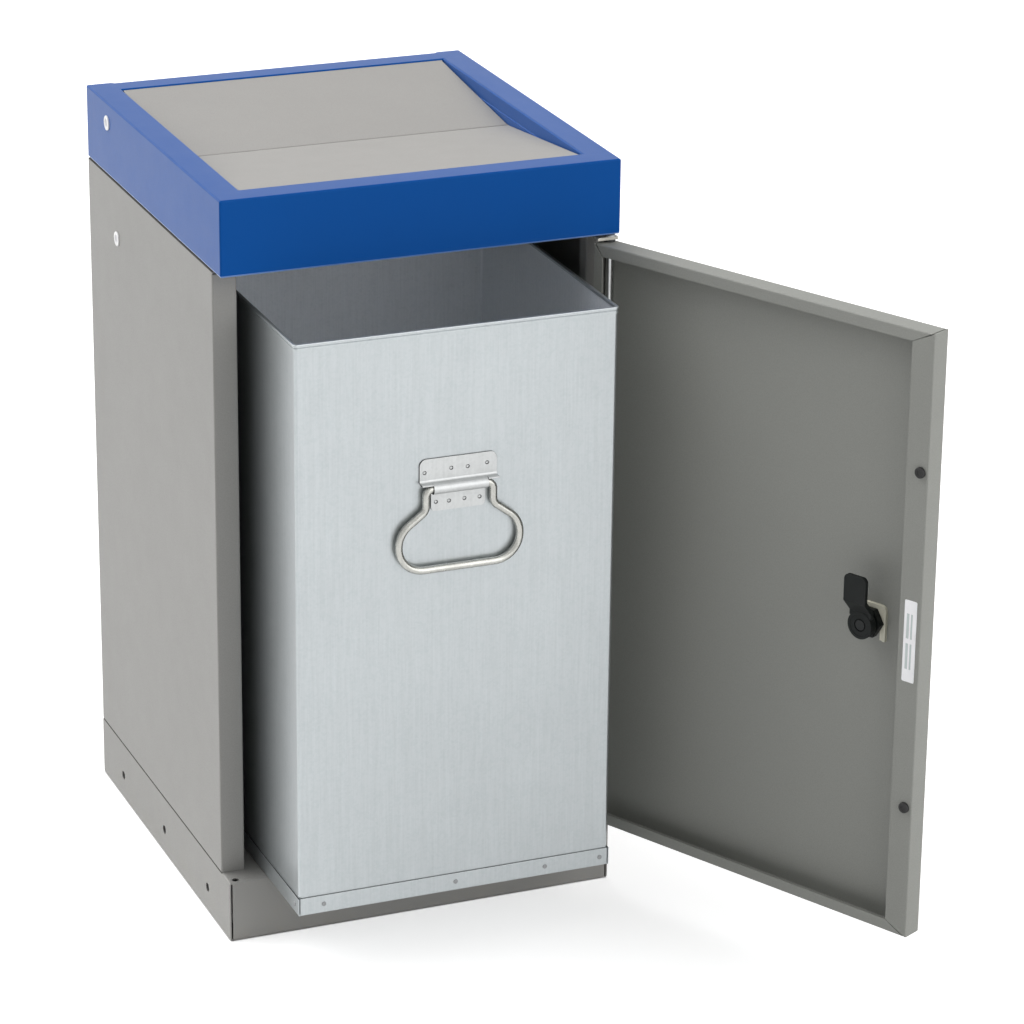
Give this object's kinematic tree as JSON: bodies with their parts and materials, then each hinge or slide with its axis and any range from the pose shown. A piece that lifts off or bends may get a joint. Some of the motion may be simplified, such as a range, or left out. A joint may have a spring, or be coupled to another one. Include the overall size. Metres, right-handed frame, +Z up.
{
  "type": "waste sorting cabinet",
  "caption": "Upright sheet-steel recycling cabinet with a hood, drop flaps over the throw-in opening, a latched pan door and a pull-out galvanised inner bin with a bail handle.",
  "frame": {"origin": "on the floor, at the middle of the plinth's front face", "axes": "+Z up, +Y from the front to the back, +X to the right seen from the front"},
  "size_m": [0.5043, 0.6764, 0.66],
  "materials": {
    "cabinet_paint": "grey fine-textured powder coat",
    "hood_paint": "blue fine-textured powder coat",
    "flap_paint": "light grey fine-textured powder coat",
    "door_paint": "grey fine-textured powder coat",
    "galvanised": "galvanised sheet with a fine spangle",
    "zinc_plate": "bright zinc plate",
    "hinge_plate_zinc": "dull zinc plate",
    "handle_steel": "satin zinc plate",
    "plug_plastic": "white plastic",
    "nylon": "natural nylon",
    "black_plastic": "black glass-filled nylon",
    "ivory_plastic": "ivory plastic",
    "black_rubber": "soft black rubber",
    "label_film": "white self-adhesive film",
    "black_steel": "blackened steel"
  },
  "bodies": {
    "cabinet": {"plinth": "cabinet_paint", "side_panel_left": "cabinet_paint", "side_panel_right": "cabinet_paint", "back_panel": "cabinet_paint", "top_rail_front": "cabinet_paint", "top_rail_rear": "cabinet_paint", "hood": "hood_paint", "hood_plugs": "plug_plastic", "panel_plugs": "plug_plastic", "hood_screws": "zinc_plate", "hood_washers": "black_rubber", "base_screws": "zinc_plate", "back_rivets": "zinc_plate", "hinge_plate": "hinge_plate_zinc", "hinge_rod": "zinc_plate", "hinge_bush_lower": "nylon", "hinge_washer_upper": "nylon", "flap_bushes": "nylon", "flap_front_torsion_rod": "zinc_plate", "flap_rear_torsion_rod": "zinc_plate"},
    "door": {"door_pan": "door_paint", "door_buffers": "black_rubber", "blank_label": "label_film", "latch_housing": "black_plastic", "latch_clip": "ivory_plastic", "latch_nut": "black_plastic"},
    "latch": {"latch_knob": "black_plastic", "latch_cam": "black_plastic", "latch_cam_screw": "black_steel"},
    "inner_bin": {"bin_shell": "galvanised", "bin_base": "galvanised", "bin_rivets": "zinc_plate", "handle_plate": "handle_steel"},
    "bail": {"handle_bail": "handle_steel"},
    "front_flap": {"flap_front": "flap_paint"},
    "rear_flap": {"flap_rear": "flap_paint"}
  },
  "joints": [
    {"name": "door_swing", "type": "hinge", "parent": "cabinet", "child": "door", "pos_m": [0.168, 0.0055, 0.3245], "axis": [0, 0, 1], "range_deg": [-117, 48]},
    {"name": "bin_slide", "type": "slide", "parent": "cabinet", "child": "inner_bin", "axis": [0, 1, 0], "range_m": [-0.0592, 0.1441]},
    {"name": "latch_turn", "type": "hinge", "parent": "door", "child": "latch", "pos_m": [0.30093, -0.24327, 0.3245], "axis": [0.891, 0.454, 0], "range_deg": [0, 90]},
    {"name": "bail_lift", "type": "hinge", "parent": "inner_bin", "child": "bail", "pos_m": [0, -0.0837, 0.424], "axis": [-1, 0, 0], "range_deg": [0, 90]},
    {"name": "front_flap_drop", "type": "hinge", "parent": "cabinet", "child": "front_flap", "pos_m": [0, 0.0296, 0.6524], "axis": [-1, 0, 0], "range_deg": [0, 28], "stiffness_Nm_per_rad": 1, "springref_deg": -34.38},
    {"name": "rear_flap_drop", "type": "hinge", "parent": "cabinet", "child": "rear_flap", "pos_m": [0, 0.3404, 0.6524], "axis": [1, 0, 0], "range_deg": [0, 28], "stiffness_Nm_per_rad": 1, "springref_deg": -34.38}
  ],
  "couplings": [
    {"joint": "bin_slide", "follows": "door_swing", "m_per_rad": -0.070518}
  ]
}
